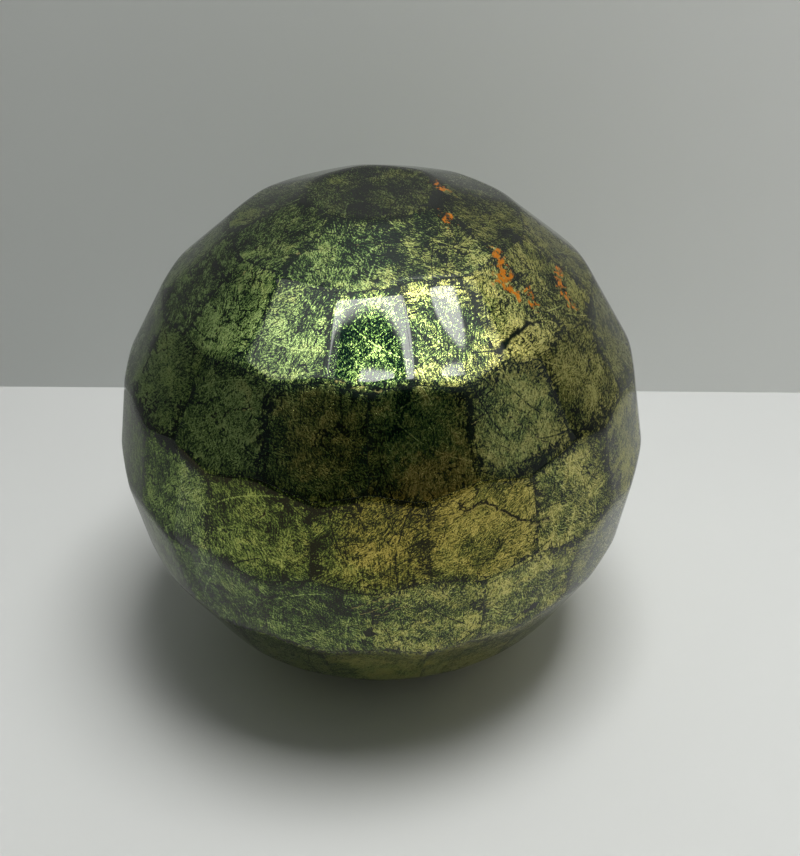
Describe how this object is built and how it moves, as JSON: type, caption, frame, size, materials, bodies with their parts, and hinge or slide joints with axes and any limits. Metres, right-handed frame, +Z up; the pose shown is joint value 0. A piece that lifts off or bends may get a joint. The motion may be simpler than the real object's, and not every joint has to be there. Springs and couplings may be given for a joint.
{
  "type": "mirror ball",
  "caption": "Faceted ball of flat tiles in staggered rows, each under a square of metal leaf and a clear gloss coat, standing on its lowest facet.",
  "frame": {"origin": "middle of the lowest facet, which the ball stands on", "axes": "+Z up through both polar caps; a seam of the third row from the top faces -Y"},
  "size_m": [0.103, 0.103, 0.098],
  "materials": {
    "core_shell": "moulded hollow shell, plain and pale",
    "adhesive_bole": "orange-brown adhesive bole between the tiles and the core",
    "tile_body": "dull pressed tile with an orange-brown ground under the leaf",
    "leaf_and_coat": "crinkled green-gold metal leaf sealed under a thick clear gloss coat"
  },
  "bodies": {
    "root": {"core_upper_shell": "core_shell", "core_lower_shell": "core_shell", "adhesive_bed_upper": "adhesive_bole", "adhesive_bed_lower": "adhesive_bole", "tile_cap_top": "tile_body", "tile_row_1": "tile_body", "tile_row_2": "tile_body", "tile_row_3": "tile_body", "tile_row_4": "tile_body", "tile_row_5": "tile_body", "tile_row_6": "tile_body", "tile_row_7": "tile_body", "tile_row_8": "tile_body", "tile_cap_bottom": "tile_body", "leaf_cap_top": "leaf_and_coat", "leaf_row_1": "leaf_and_coat", "leaf_row_2": "leaf_and_coat", "leaf_row_3": "leaf_and_coat", "leaf_row_4": "leaf_and_coat", "leaf_row_5": "leaf_and_coat", "leaf_row_6": "leaf_and_coat", "leaf_row_7": "leaf_and_coat", "leaf_row_8": "leaf_and_coat", "leaf_cap_bottom": "leaf_and_coat"}
  },
  "joints": []
}
